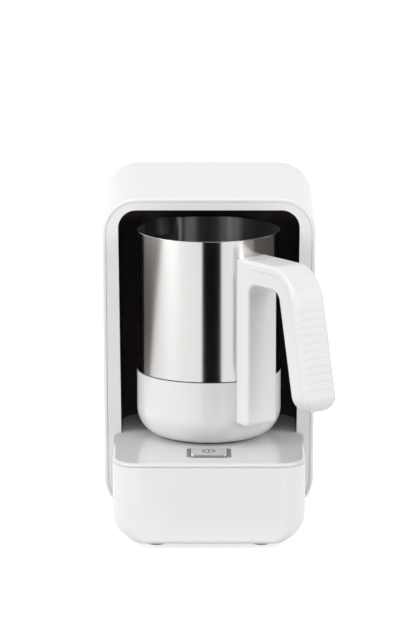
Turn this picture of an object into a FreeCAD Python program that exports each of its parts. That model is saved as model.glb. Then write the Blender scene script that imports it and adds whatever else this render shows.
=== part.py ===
# Electric Turkish coffee maker: a tall arch over a low base, with a jug that stands on a dock.
# X points right, Y points back and Z points up. While the pieces are drawn, the jug's axis is
# X = Y = 0, the front plane of the arch is Y = 0 and the underside of the housing is Z = 0.
# The sheet's frame values then move every piece so that the middle of the footprint is the origin.
import FreeCAD, Part
import math
import os
import re
import Sketcher

Vector = FreeCAD.Vector
doc = FreeCAD.newDocument("coffee_maker")

# Driving dimensions, in millimetres and degrees
SIZES = [
    ("arch_width_top", 152.6, "arch, across its top corners"),
    ("arch_width_bottom", 150.0, "arch, across its lower corners"),
    ("arch_height", 229.0, "top of the arch at its front edge"),
    ("arch_rise", 5.6, "how much higher the arch is at its back edge"),
    ("arch_depth", 125.0, "arch, front edge to back edge"),
    ("arch_corner", 25.0, "outer corner radius of the arch"),
    ("arch_wall", 2.4, "wall of the arch sleeve"),
    ("arch_edge", 1.2, "rounding of the sleeve's front edge"),
    ("rim_height", 8.4, "white rim above the niche"),
    ("niche_width_top", 130.0, "niche opening near its roof"),
    ("niche_width_bottom", 126.0, "niche opening at the deck"),
    ("niche_corner", 13.0, "roof corner radius of the niche"),
    ("niche_depth", 66.0, "niche, front plane to back wall"),
    ("niche_back_corner", 24.0, "upright corner radius at the back of the niche"),
    ("liner_wall", 1.8, "wall of the dark niche liner"),
    ("bezel_thick", 2.4, "front bezel plate"),
    ("bezel_sink", 0.3, "bezel face behind the sleeve's front edge"),
    ("lip_depth", 4.0, "white lip that runs back round the opening"),
    ("lip_wall", 1.6, "thickness of that lip"),
    ("clip_place", 42.5, "bezel clips, off the centre line"),
    ("clip_width", 6.0, "width of a bezel clip"),
    ("seam_gap", 0.3, "gap at a seam between housing pieces"),
    ("fit_gap", 0.15, "clearance between pieces that nest"),
    ("base_width", 135.2, "base box, side to side"),
    ("base_reach", 96.4, "base box, in front of the arch"),
    ("base_height", 55.2, "base box, underside to seam"),
    ("base_corner", 19.3, "corner radius of the base box"),
    ("base_lower_edge", 3.0, "rounding of the front lower edge"),
    ("base_wall", 2.4, "wall of the base box"),
    ("deck_top", 58.0, "top of the deck"),
    ("deck_edge", 2.0, "rounding of the deck's edge"),
    ("skirt_depth", 5.0, "skirt of the deck, inside the base box"),
    ("skirt_wall", 1.6, "thickness of that skirt"),
    ("foot_radius", 7.0, "rubber foot"),
    ("foot_height", 4.0, "foot, below the housing"),
    ("foot_plug", 3.0, "radius of the plug that holds a foot"),
    ("front_foot_side", 30.6, "front feet, in from the side of the base"),
    ("front_foot_in", 20.4, "front feet, in from the front of the base"),
    ("back_foot_side", 29.0, "back feet, in from the side of the arch"),
    ("back_foot_in", 21.0, "back feet, in from the back of the arch"),
    ("slot_length", 40.0, "vent slot under the base"),
    ("slot_width", 2.6, "width of that slot"),
    ("slot_pitch", 6.0, "slots under the base, one to the next"),
    ("slot_count", 4, "slots under the base"),
    ("slot_first", 36.0, "front slot, in front of the arch"),
    ("boss_radius", 4.5, "boss for a screw of the back cover"),
    ("boss_long", 12.0, "length of that boss"),
    ("boss_inset", 3.5, "boss centre, in from the sleeve's wall"),
    ("boss_low", 60.0, "height of the lower bosses"),
    ("boss_high", 190.0, "height of the upper bosses"),
    ("screw_radius", 1.5, "shank of a housing screw"),
    ("screw_head", 3.0, "head of a housing screw"),
    ("screw_head_high", 1.6, "height of a screw head"),
    ("screw_long", 9.0, "length of a housing screw"),
    ("board_screw_long", 6.0, "length of a circuit board's screw"),
    ("cover_thick", 2.4, "back cover"),
    ("cover_sink", 1.6, "back cover, inside the sleeve's back edge"),
    ("vent_length", 46.0, "vent slot, across"),
    ("vent_high", 2.6, "vent slot, height"),
    ("vent_pitch", 6.5, "vent slots, one to the next"),
    ("vent_count", 7, "vent slots"),
    ("vent_lowest", 150.0, "height of the lowest vent slot"),
    ("gland_x", 38.0, "cord gland, off the centre line"),
    ("gland_z", 26.0, "cord gland, above the underside"),
    ("gland_bore", 3.6, "bore of the cord gland"),
    ("gland_neck", 5.6, "neck of the gland, in the back cover"),
    ("gland_flange", 8.0, "flange of the gland"),
    ("dock_radius", 34.0, "dark dock plate in the deck"),
    ("dock_flange", 37.0, "flange of the dock plate, under the deck"),
    ("dock_flange_thick", 2.4, "thickness of that flange"),
    ("cone_radius", 20.0, "centring cone of the dock, at its foot"),
    ("cone_top_radius", 11.0, "centring cone, at its top"),
    ("cone_high", 1.4, "height of the centring cone"),
    ("pin_radius", 1.2, "dock contact pin"),
    ("pin_long", 9.0, "length of a contact pin"),
    ("pin_stand", 0.1, "pin above the dock plate"),
    ("inner_track", 23.6, "radius of the inner contact track"),
    ("outer_track", 28.6, "radius of the outer contact track"),
    ("track_width", 2.6, "width of a contact track"),
    ("button_y", 63.7, "button, in front of the arch"),
    ("frame_width", 31.2, "button frame, across"),
    ("frame_length", 27.0, "button frame, front to back"),
    ("frame_stand", 0.4, "button frame above the deck"),
    ("frame_corner", 3.4, "corner radius of the button frame"),
    ("frame_wall", 1.3, "skirt of the button frame"),
    ("cap_width", 25.4, "button cap, across"),
    ("cap_length", 21.0, "button cap, front to back"),
    ("cap_corner", 2.2, "corner radius of the cap"),
    ("cap_thick", 3.6, "thickness of the cap"),
    ("cap_stand", 1.6, "cap above the deck when it is up"),
    ("cap_gap", 0.35, "running gap round the cap"),
    ("button_travel", 1.4, "press of the button"),
    ("stem_radius", 3.0, "stem under the cap"),
    ("stem_fit", 0.08, "running clearance of the stem"),
    ("stem_long", 9.0, "length of the stem"),
    ("guide_floor", 1.8, "floor of the button guide"),
    ("guide_wall", 1.6, "wall of the button guide"),
    ("spring_radius", 5.0, "button spring, middle of its wire"),
    ("spring_wire", 0.45, "radius of the spring's wire"),
    ("spring_turns", 4, "turns of the spring"),
    ("plunger_radius", 1.7, "switch plunger"),
    ("plunger_high", 3.4, "switch plunger, above the switch case"),
    ("switch_width", 7.0, "switch case, across"),
    ("switch_high", 4.0, "switch case, height"),
    ("board_thick", 1.6, "circuit boards"),
    ("board_width", 66.0, "control board, across"),
    ("board_length", 36.0, "control board, front to back"),
    ("post_radius", 3.2, "board post"),
    ("post_inset", 5.0, "board post, in from the board's edges"),
    ("power_width", 104.0, "power board, across"),
    ("power_length", 44.0, "power board, front to back"),
    ("power_high", 9.0, "underside of the power board"),
    ("power_centre", 95.5, "power board's middle, behind the arch's front"),
    ("sensor_y", 27.0, "foam sensor, behind the arch's front"),
    ("lens_radius", 4.5, "window of the foam sensor"),
    ("lens_flange_thick", 1.6, "thickness of the window's flange"),
    ("lens_flange", 6.5, "flange of that window"),
    ("jug_radius", 51.5, "jug, outside"),
    ("jug_gap", 0.3, "jug above the deck"),
    ("jug_rim", 207.3, "top of the jug"),
    ("jug_joint", 106.0, "joint of the steel and the cup"),
    ("jug_corner", 20.0, "outer radius round the bottom of the cup"),
    ("steel_wall", 1.0, "wall of the steel vessel"),
    ("cup_wall", 2.4, "wall of the white cup"),
    ("vessel_corner", 12.0, "corner radius of the vessel's floor"),
    ("vessel_floor", 74.0, "underside of the vessel's floor"),
    ("joint_ring", 0.8, "height of the seal between steel and cup"),
    ("spout_angle", 135.0, "direction of the spout"),
    ("spout_drop", 13.0, "spout, below the rim"),
    ("spout_radius", 22.8, "spout, in plan"),
    ("spout_centre", 36.7, "centre of the spout's round, off the jug's axis"),
    ("spout_taper", 3.0, "how much smaller the spout is at its ledge"),
    ("spout_edge", 2.0, "rounding of the spout's ledge"),
    ("socket_radius", 31.0, "dark base plate of the jug"),
    ("socket_flange", 34.0, "flange of that plate, inside the cup"),
    ("socket_thick", 4.0, "thickness of that plate"),
    ("heater_radius", 40.0, "heating plate"),
    ("heater_thick", 3.0, "thickness of the heating plate"),
    ("element_radius", 29.0, "heating element, middle of its tube"),
    ("element_tube", 2.6, "radius of the element's tube"),
    ("element_sweep", 320.0, "angle that the element covers"),
    ("handle_angle", -53.0, "direction of the handle"),
    ("handle_width", 26.0, "handle, side to side"),
    ("handle_edge", 2.4, "rounding along the handle"),
    ("strap_out", 63.0, "outer face of the strap, off the jug's axis"),
    ("strap_low", 75.0, "lower end of the strap"),
    ("handle_top", 195.0, "top of the handle"),
    ("bar_under", 178.0, "underside of the handle's bar"),
    ("bar_end", 112.2, "upper outer corner of the handle, off the axis"),
    ("grip_out", 133.0, "outer face of the grip, at its lower end"),
    ("grip_low", 95.5, "lower end of the grip"),
    ("grip_in_top", 96.2, "inner face of the grip, at its top"),
    ("grip_in", 113.7, "inner face of the grip, at its lower end"),
    ("grip_round", 9.4, "radius round the end of the grip"),
    ("shoulder_round", 28.0, "radius of the handle's shoulder"),
    ("palm_round", 8.0, "radius inside the handle's corners"),
    ("cover_start", 64.5, "inner end of the handle's outer cover"),
    ("cover_skin", 5.6, "thickness of that cover"),
    ("cover_round", 2.0, "radius at that cover's inner end"),
    ("bracket_width", 14.0, "steel bracket between handle and jug"),
    ("bracket_low", 120.0, "lower end of the bracket"),
    ("bracket_high", 185.0, "upper end of the bracket"),
    ("bracket_thick", 1.3, "thickness of the bracket"),
    ("rib_first", 166.0, "height of the highest grip groove"),
    ("rib_pitch", 5.4, "grooves, one to the next"),
    ("rib_count", 11, "grooves across the grip"),
    ("rib_wide", 1.6, "width of a groove"),
    ("rib_deep", 0.3, "depth of those grooves"),
    ("tip_round", 12.5, "side rounding of the grip's end"),
    ("tip_sink", 0.8, "corner of that rounding, below the grip's end"),
    ("slot_flat", 0.12, "flat between the two roundings of a slot's end"),
    ("wire_width", 94.6, "opening for wires in the bezel, across"),
    ("wire_high", 30.4, "height of that opening"),
    ("wire_corner", 4.0, "corner radius of that opening"),
    ("wire_centre", 23.2, "middle of that opening, above the underside"),
    ("gland_tail", 2.0, "neck of the gland, inside the back cover"),
    ("cap_edge", 0.5, "rounding of the cap's edge"),
    ("stem_past", 2.0, "stem past the guide's upper face, beyond its travel"),
    ("frame_skirt", 3.0, "skirt of the button frame, below the deck's underside"),
    ("plunger_sunk", 2.0, "plunger, inside the switch case"),
    ("switch_floor", 0.4, "floor of the switch case"),
    ("groove_depth", 1.5, "ring grooves in the jug's base plate"),
    ("ring_thick", 1.3, "contact rings"),
    ("ring_sink", 0.1, "contact rings, above the jug's underside"),
    ("seal_gap", 0.05, "seal, off the vessel's wall"),
    ("seal_inset", 0.6, "seal, inside the jug's outer face"),
    ("element_gap", 0.1, "heating element, below its plate"),
    ("cutout_radius", 6.0, "thermal cut-out"),
    ("cutout_high", 5.0, "height of the thermal cut-out"),
    ("board_corner", 2.0, "corner radius of the circuit boards"),
    ("buzzer_radius", 6.0, "buzzer"),
    ("buzzer_high", 7.0, "height of the buzzer"),
    ("buzzer_x", 24.0, "buzzer, right of the button"),
    ("buzzer_y", 4.0, "buzzer, behind the button"),
    ("chip_width", 8.0, "control chip, across"),
    ("chip_length", 6.0, "control chip, front to back"),
    ("chip_high", 1.6, "height of the control chip"),
    ("chip_x", 22.0, "control chip, left of the button"),
    ("relay_width", 19.0, "relay, across"),
    ("relay_length", 15.0, "relay, front to back"),
    ("relay_high", 15.0, "height of the relay"),
    ("relay_x", 26.0, "relay, left of the middle"),
    ("transformer_width", 28.0, "transformer, across"),
    ("transformer_length", 24.0, "transformer, front to back"),
    ("transformer_high", 22.0, "height of the transformer"),
    ("transformer_x", 16.0, "transformer, right of the middle"),
    ("transformer_y", 5.0, "transformer, in front of the board's middle"),
    ("capacitor_radius", 6.0, "capacitor"),
    ("capacitor_high", 20.0, "height of the capacitor"),
    ("capacitor_x", 7.0, "capacitor, left of the middle"),
    ("capacitor_y", 8.0, "capacitor, in front of the board's middle"),
    ("terminal_width", 14.0, "mains terminals, across"),
    ("terminal_length", 9.0, "mains terminals, front to back"),
    ("terminal_high", 9.0, "height of the mains terminals"),
    ("terminal_x", 3.0, "mains terminals, left of the gland"),
    ("terminal_y", 12.0, "mains terminals, behind the board's middle"),
    ("sensor_board_width", 26.0, "sensor board, across"),
    ("sensor_board_length", 16.0, "sensor board, front to back"),
    ("sensor_board_thick", 1.2, "thickness of the sensor board"),
    ("sensor_board_corner", 1.0, "corner radius of the sensor board"),
]

# Sizes that follow from the driving ones
DERIVED = [
    ("opening_top", "arch_height - rim_height", "top of the niche opening"),
    ("front_foot_x", "base_width / 2 - front_foot_side", "front feet, off the centre line"),
    ("front_foot_y", "base_reach - front_foot_in", "front feet, in front of the arch"),
    ("back_foot_x", "arch_width_bottom / 2 - back_foot_side", "back feet, off the centre line"),
    ("back_foot_y", "arch_depth - back_foot_in", "back feet, behind the arch's front"),
    ("deck_under", "base_height + seam_gap", "underside of the deck"),
    ("jug_foot", "deck_top + jug_gap", "underside of the jug"),
    ("cup_inner", "jug_radius - cup_wall", "inside radius of the cup"),
    ("vessel_lower", "cup_inner - seam_gap", "vessel, inside the cup"),
    ("cap_top", "deck_top + cap_stand", "top of the button cap"),
    ("cap_under", "cap_top - cap_thick", "underside of the button cap"),
    ("stem_end", "cap_under - stem_long", "lower end of the stem"),
    ("guide_top", "stem_end + button_travel + stem_past", "upper face of the guide's floor"),
    ("guide_end", "guide_top - guide_floor", "underside of the guide"),
    ("case_top", "stem_end - fit_gap - plunger_high", "top of the switch case"),
    ("board_under", "case_top - switch_high - board_thick", "underside of the control board"),
    ("grip_lean", "(grip_out - bar_end) / (handle_top - grip_low)", "grip, outward for each step down"),
    ("skin_across", "cover_skin * sqrt(1 + grip_lean ^ 2)", "cover's thickness, measured level"),
    ("skirt_width", "cap_width + 2 * cap_gap + 2 * frame_wall", "skirt of the button frame, across"),
    ("skirt_length", "cap_length + 2 * cap_gap + 2 * frame_wall", "that skirt, front to back"),
    ("frame_skirt_end", "deck_under - frame_skirt", "lower end of the frame's skirt"),
    ("cover_face", "arch_depth - cover_sink", "outer face of the back cover"),
    ("cover_back", "cover_face - cover_thick", "inner face of the back cover"),
    ("cover_rise", "arch_rise * cover_back / arch_depth", "climb of the arch, there"),
    ("board_top", "board_under + board_thick", "top of the control board"),
    ("power_top", "power_high + board_thick", "top of the power board"),
    ("dock_under", "deck_under - dock_flange_thick", "underside of the dock plate"),
    ("carrier_under", "deck_top + pin_stand - pin_long", "underside of the contact carrier"),
    ("lens_top", "opening_top + liner_wall + lens_flange_thick", "top of the foam sensor's window"),
    ("reach_front", "grip_out * sin(-handle_angle) + handle_width / 2 * cos(handle_angle)",
     "front of the grip"),
    ("reach_right", "grip_out * cos(handle_angle) + handle_width / 2 * sin(-handle_angle)",
     "right of the grip"),
    ("frame_x", "(arch_width_top / 2 - reach_right) / 2", "move to the middle, in X"),
    ("frame_y", "(reach_front - arch_depth) / 2", "move to the middle, in Y"),
    ("frame_z", "foot_height", "move up to stand on the feet"),
]
ANGLES = ("handle_angle", "spout_angle")

# Cuts run this far past the solid, and edges are told apart within this distance, in millimetres
PAST = "1"
NEAR = 1e-3

sheet = doc.addObject("Spreadsheet::Sheet", "Dims")
NAMES = {row[0] for row in SIZES + DERIVED}


def bound(text):
    """Name the sheet's cells in a formula that is written with their plain aliases."""
    def cell(found):
        word = found.group()
        if word not in NAMES:
            return word
        return "(Dims.%s * 1 deg)" % word if word in ANGLES else "Dims." + word
    return re.sub(r"[a-z][a-z_]*", cell, text)


def fill_sheet():
    for row, (name, size, note) in enumerate(SIZES + DERIVED, 1):
        if isinstance(size, str):
            size = "=" + bound(size).replace("Dims.", "")
        sheet.set("A%d" % row, note)
        sheet.set("B%d" % row, str(size))
        sheet.setAlias("B%d" % row, name)
    doc.recompute()


def value(text):
    """The present size of a formula."""
    result = sheet.evalExpression(bound(str(text)))
    return float(getattr(result, "Value", result))


fill_sheet()


# Drawing helpers
def body(label, turn=None):
    """A sub-part: its place follows the frame values, and turn is its angle about Z."""
    made = doc.addObject("PartDesign::Body", label)
    made.Label = label
    place(made, turn)
    return made


def place(made, turn=None):
    for axis in "xyz":
        made.setExpression("Placement.Base." + axis, bound("frame_" + axis))
    if turn:
        made.setExpression("Placement.Rotation.Angle", bound(turn))


def sketch(owner, plane, offset="0", name="sketch"):
    """A sketch on one of the body's own planes, moved along the plane's normal."""
    made = owner.newObject("Sketcher::SketchObject", name)
    found = [item for item in owner.Origin.OriginFeatures if item.Role == plane + "_Plane"]
    made.AttachmentSupport = found[0]
    made.MapMode = "FlatFace"
    made.setExpression("AttachmentOffset.Base.z", bound(offset))
    return made


def set_size(made, kind, parts, formula):
    """A dimension whose size follows a formula; a size of zero lies on the axis."""
    number = made.addConstraint(Sketcher.Constraint(kind, *parts, value(formula)))
    made.renameConstraint(number, "size_%d" % number)
    made.setExpression("Constraints.size_%d" % number, bound(formula))


def set_point(made, item, end, across, up):
    for kind, formula, axis in (("DistanceX", across, -2), ("DistanceY", up, -1)):
        if abs(value(formula)) < 1e-9:
            made.addConstraint(Sketcher.Constraint("PointOnObject", item, end, axis))
        else:
            set_size(made, kind, (-1, 1, item, end), formula)


def outline(made, corners):
    """A closed outline through corners (across, up, radius); radius None leaves one sharp."""
    count = len(corners)
    places = [Vector(value(x), value(y), 0) for x, y, radius in corners]
    marks = [made.addGeometry(Part.Point(point), True) for point in places]
    first = [None] * count
    last = [None] * count
    arcs = []
    for k, (x, y, radius) in enumerate(corners):
        before = places[k - 1] - places[k]
        after = places[(k + 1) % count] - places[k]
        before.normalize()
        after.normalize()
        if radius is None:
            first[k] = last[k] = places[k]
            arcs.append(None)
            continue
        half = before.getAngle(after) / 2
        size = value(radius)
        middle = before + after
        middle.normalize()
        first[k] = places[k] + before * (size / math.tan(half))
        last[k] = places[k] + after * (size / math.tan(half))
        centre = places[k] + middle * (size / math.sin(half))
        arcs.append(made.addGeometry(Part.Arc(first[k], centre - middle * size, last[k]), False))
    lines = [
        made.addGeometry(Part.LineSegment(last[k], first[(k + 1) % count]), False)
        for k in range(count)
    ]
    for k, (x, y, radius) in enumerate(corners):
        set_point(made, marks[k], 1, x, y)
        if radius is None:
            made.addConstraint(Sketcher.Constraint("Coincident", lines[k - 1], 2, lines[k], 1))
            made.addConstraint(Sketcher.Constraint("Coincident", lines[k], 1, marks[k], 1))
            continue
        starts = (made.getPoint(arcs[k], 1) - first[k]).Length < 1e-6
        near, far = (1, 2) if starts else (2, 1)
        made.addConstraint(Sketcher.Constraint("Tangent", lines[k - 1], 2, arcs[k], near))
        made.addConstraint(Sketcher.Constraint("Tangent", arcs[k], far, lines[k], 1))
        made.addConstraint(Sketcher.Constraint("PointOnObject", marks[k], 1, lines[k - 1]))
        made.addConstraint(Sketcher.Constraint("PointOnObject", marks[k], 1, lines[k]))
        set_size(made, "Radius", (arcs[k],), radius)


def box_outline(made, width, length, radius=None, across="0", up="0"):
    """A rectangle about a point, with its corners rounded by radius."""
    signs = ((-1, -1), (1, -1), (1, 1), (-1, 1))
    outline(made, [
        ("%s + %d * (%s) / 2" % (across, i, width), "%s + %d * (%s) / 2" % (up, j, length), radius)
        for i, j in signs
    ])


def circle(made, radius, across="0", up="0"):
    centre = Vector(value(across), value(up), 0)
    item = made.addGeometry(Part.Circle(centre, Vector(0, 0, 1), value(radius)), False)
    set_point(made, item, 3, across, up)
    set_size(made, "Radius", (item,), radius)


def feature(owner, kind, profile, length=None, **settings):
    """A feature of the body, which must change its volume."""
    solid_before = owner.Tip.Shape.Volume if owner.Tip else 0
    made = owner.newObject("PartDesign::" + kind, kind.lower())
    made.Profile = profile
    if length:
        made.setExpression("Length", bound(length))
    for name, setting in settings.items():
        setattr(made, name, setting)
    doc.recompute()
    change = made.Shape.Volume - solid_before
    cuts = kind in ("Pocket", "Groove", "SubtractiveLoft", "SubtractivePipe")
    if made.State != ["Up-to-date"] or (change > -1e-6 if cuts else change < 1e-6):
        raise RuntimeError("%s of %s changed nothing: %s" % (kind, owner.Label, made.State))
    return made


def edges(made, test):
    """Names of the edges of a feature that pass a test."""
    return ["Edge%d" % n for n, edge in enumerate(made.Shape.Edges, 1) if test(edge)]


def dress(owner, kind, test, size):
    """A fillet or chamfer on the edges of the body's last feature that pass the test."""
    base = owner.Tip
    made = owner.newObject("PartDesign::" + kind, kind.lower())
    made.Base = (base, edges(base, test))
    made.setExpression("Radius" if kind == "Fillet" else "Size", bound(size))
    doc.recompute()
    if made.State != ["Up-to-date"] or not made.Shape.isValid():
        raise RuntimeError("%s of %s failed" % (kind, owner.Label))
    return made


def round_plate(label, radius, low, high, holes=(), turn=None):
    """A round plate about the jug's axis or a point, with round holes."""
    made = body(label, turn)
    drawn = sketch(made, "XY", low)
    circle(drawn, *radius)
    for hole in holes:
        circle(drawn, *hole)
    feature(made, "Pad", drawn, "%s - (%s)" % (high, low))
    return made


def block(label, width, length, radius, across, up, low, high):
    """A plain upright block with rounded corners."""
    made = body(label)
    drawn = sketch(made, "XY", low)
    box_outline(drawn, width, length, radius, across, up)
    feature(made, "Pad", drawn, "%s - (%s)" % (high, low))
    return made


def arch_outline(inset, rise="0"):
    """Corners of the arch seen from the front, drawn in by inset and lifted at the top by rise."""
    low = "arch_width_bottom / 2 - (%s)" % inset
    top = "arch_width_top / 2 - (%s)" % inset
    high = "arch_height + %s - (%s)" % (rise, inset)
    radius = "arch_corner - (%s)" % inset
    return [
        ("-(%s)" % low, inset, radius),
        (low, inset, radius),
        (top, high, radius),
        ("-(%s)" % top, high, radius),
    ]


def niche_outline(grow, low):
    """Corners of the niche seen from the front, grown by a wall, down to a height."""
    side = "niche_width_bottom / 2 + (%s)" % grow
    top = "niche_width_top / 2 + (%s)" % grow
    high = "opening_top + (%s)" % grow
    radius = "niche_corner + (%s)" % grow
    return [
        ("-(%s)" % side, low, None),
        (side, low, None),
        (top, high, radius),
        ("-(%s)" % top, high, radius),
    ]


def front_sketch(owner, y, name="sketch"):
    """A sketch seen from the front, at a distance behind the arch's front plane."""
    return sketch(owner, "XZ", "-(%s)" % y, name)


# Arch sleeve: a tapered tube of four walls, whose top climbs towards the back
def arch_shell():
    made = body("arch_shell")
    for kind, inset in (("AdditiveLoft", "0"), ("SubtractiveLoft", "arch_wall")):
        front = front_sketch(made, "0")
        outline(front, arch_outline(inset))
        back = front_sketch(made, "arch_depth")
        outline(back, arch_outline(inset, "arch_rise"))
        feature(made, kind, front, Sections=[back], Ruled=True)
    side = value("arch_width_bottom / 2 - arch_wall / 2")
    low, high = value("arch_wall / 2"), value("arch_height - arch_wall / 2")
    dress(made, "Fillet", lambda edge: edge.BoundBox.YMax < NEAR and (
        edge.BoundBox.ZMax > high or edge.BoundBox.ZMin < low
        or max(edge.BoundBox.XMax, -edge.BoundBox.XMin) > side), "arch_edge")
    posts = sketch(made, "XY", "arch_wall - seam_gap")
    for across, along in POWER_POINTS:
        circle(posts, "post_radius", across, along)
    feature(made, "Pad", posts, "power_high - arch_wall + seam_gap")
    bores = sketch(made, "XY", "power_high")
    for across, along in POWER_POINTS:
        circle(bores, "screw_radius + fit_gap", across, along)
    feature(made, "Pocket", bores, "power_high - arch_wall")
    bosses = front_sketch(made, "cover_back - boss_long")
    for across, up in BOSSES:
        circle(bosses, "boss_radius", across, up)
    feature(made, "Pad", bosses, "boss_long", Reversed=True)
    bores = front_sketch(made, "cover_back")
    for across, up in BOSSES:
        circle(bores, "screw_radius + fit_gap", across, up)
    feature(made, "Pocket", bores, "screw_long", Reversed=True)
    plugs = sketch(made, "XY", "0")
    for side in (-1, 1):
        circle(plugs, "foot_plug + fit_gap", "%d * back_foot_x" % side, "back_foot_y")
    feature(made, "Pocket", plugs, "arch_wall / 2", Reversed=True)
    return made


# Front bezel: the white rim round the niche, let into the sleeve, with a lip and two clips
def front_bezel():
    made = body("front_bezel")
    plate = front_sketch(made, "bezel_sink")
    outline(plate, arch_outline("arch_wall + fit_gap"))
    outline(plate, niche_outline("0", "carrier_under - seam_gap"))
    feature(made, "Pad", plate, "bezel_thick", Reversed=True)
    window = front_sketch(made, "bezel_sink")
    box_outline(window, "wire_width", "wire_high", "wire_corner", "0", "wire_centre")
    feature(made, "Pocket", window, "bezel_thick")
    lip = front_sketch(made, "bezel_sink + bezel_thick")
    outline(lip, niche_outline("lip_wall", "base_height"))
    feature(made, "Pad", lip, "lip_depth", Reversed=True)
    mouth = front_sketch(made, "bezel_sink + bezel_thick / 2")
    outline(mouth, niche_outline("0", "carrier_under - seam_gap"))
    feature(made, "Pocket", mouth, "bezel_thick + lip_depth")
    clips = front_sketch(made, "bezel_sink + bezel_thick + lip_depth")
    for side in (-1, 1):
        box_outline(clips, "clip_width", "lip_wall", None, "%d * clip_place" % side,
                    "opening_top + lip_wall / 2")
    feature(made, "Pad", clips, "lip_depth", Reversed=True)
    return made


def niche_block(label, grow, start, low):
    """A block of the niche's form, grown by a wall, with rounded upright corners at its back."""
    made = doc.addObject("PartDesign::Body", label)
    drawn = front_sketch(made, start)
    outline(drawn, niche_outline(grow, low))
    feature(made, "Pad", drawn, "niche_depth + (%s) - (%s)" % (grow, start), Reversed=True)
    back, tall = value("niche_depth + (%s)" % grow) - NEAR, value("jug_rim") / 2
    dress(made, "Fillet", lambda edge: edge.BoundBox.YMin > back and edge.BoundBox.ZLength > tall,
          "niche_back_corner + (%s)" % grow)
    return made


# Niche liner: the dark tub behind the rim, open to the front and over the deck
def niche_liner():
    start, low = "(bezel_sink + bezel_thick + lip_depth + fit_gap)", "base_height - skirt_depth"
    outside = niche_block("liner_outside", "liner_wall", start, low)
    window = sketch(outside, "XY", "opening_top - " + PAST)
    circle(window, "lens_radius + fit_gap", "0", "sensor_y")
    feature(outside, "Pocket", window, "liner_wall + 2 * " + PAST, Reversed=True)
    notches = front_sketch(outside, start)
    for side in (-1, 1):
        box_outline(notches, "clip_width + 2 * fit_gap", "liner_wall + " + PAST, None,
                    "%d * clip_place" % side, "opening_top + liner_wall / 2")
    feature(outside, "Pocket", notches, "lip_depth + fit_gap")
    made = doc.addObject("Part::Cut", "niche_liner")
    made.Base = outside
    made.Tool = niche_block("liner_inside", "0", start + " - " + PAST, low + " - " + PAST)
    made.Label = "niche_liner"
    place(made)
    doc.recompute()
    return made


# Back cover: a plate let into the sleeve, with louvre slots, screw seats and the gland's hole
def back_cover():
    made = body("back_cover")
    plate = front_sketch(made, "cover_back")
    outline(plate, arch_outline("arch_wall + fit_gap", "cover_rise"))
    feature(made, "Pad", plate, "cover_thick", Reversed=True)
    slots = front_sketch(made, "cover_back")
    for k in range(int(value("vent_count"))):
        box_outline(slots, "vent_length", "vent_high", "(vent_high - slot_flat) / 2", "0",
                    "vent_lowest + %d * vent_pitch" % k)
    feature(made, "Pocket", slots, "cover_thick")
    holes = front_sketch(made, "cover_back")
    circle(holes, "gland_neck + fit_gap", "gland_x", "gland_z")
    for across, up in BOSSES:
        circle(holes, "screw_radius + fit_gap", across, up)
    feature(made, "Pocket", holes, "cover_thick")
    seats = front_sketch(made, "cover_face - screw_head_high")
    for across, up in BOSSES:
        circle(seats, "screw_head + fit_gap", across, up)
    feature(made, "Pocket", seats, "screw_head_high")
    return made


def screws(label, plane, head_level, points, length, out=1):
    """Headed screws at several points; out is the side of the plane on which the heads lie."""
    made = body(label)
    made.AllowCompound = True
    drawn = sketch(made, plane, head_level)
    for across, up in points:
        circle(drawn, "screw_radius", across, up)
    feature(made, "Pad", drawn, length, Reversed=out > 0)
    heads = sketch(made, plane, head_level)
    for across, up in points:
        circle(heads, "screw_head", across, up)
    feature(made, "Pad", heads, "screw_head_high", Reversed=out < 0)
    return made


# Cord gland: a bush in the back cover, whose bore takes the cord
def cord_gland():
    made = body("cord_gland")
    for radius, start, depth in (("gland_neck", "cover_back - gland_tail", "cover_thick + gland_tail"),
                                 ("gland_flange", "cover_face", "cover_sink")):
        drawn = front_sketch(made, start)
        circle(drawn, radius, "gland_x", "gland_z")
        feature(made, "Pad", drawn, depth, Reversed=True)
    bore = front_sketch(made, "cover_back - gland_tail - " + PAST)
    circle(bore, "gland_bore", "gland_x", "gland_z")
    feature(made, "Pocket", bore, "cover_thick + cover_sink + gland_tail + 2 * " + PAST)
    return made


def base_section(made, inset, step):
    """One slice of the base box, seen from the front; step 0 is its front face."""
    turn = "%d deg" % (90 / CORNER_STEPS * step)
    lower = "%d deg" % min(90, 90 / EDGE_STEPS * step)
    radius = "(base_corner - %s)" % inset
    inward = "%s * (1 - sin(%s))" % (radius, turn)
    drawn = front_sketch(made, "(%s + %s * (1 - cos(%s)) - base_reach)" % (inset, radius, turn))
    side = "(base_width / 2 - %s - %s)" % (inset, inward)
    low = "%s + base_lower_edge * (1 - sin(%s))" % (inset, lower)
    high = "base_height + 2 * (%s)" % inset
    corner = "%s - %s * %s" % (radius, CORNER_EASE, inward)
    outline(drawn, [("-" + side, low, corner), (side, low, corner),
                    (side, high, None), ("-" + side, high, None)])
    return drawn


# The base box is lofted in steps round its front corners, whose lower rounding eases off forwards
CORNER_STEPS = 6
EDGE_STEPS = 2
CORNER_EASE = 0.75


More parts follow.
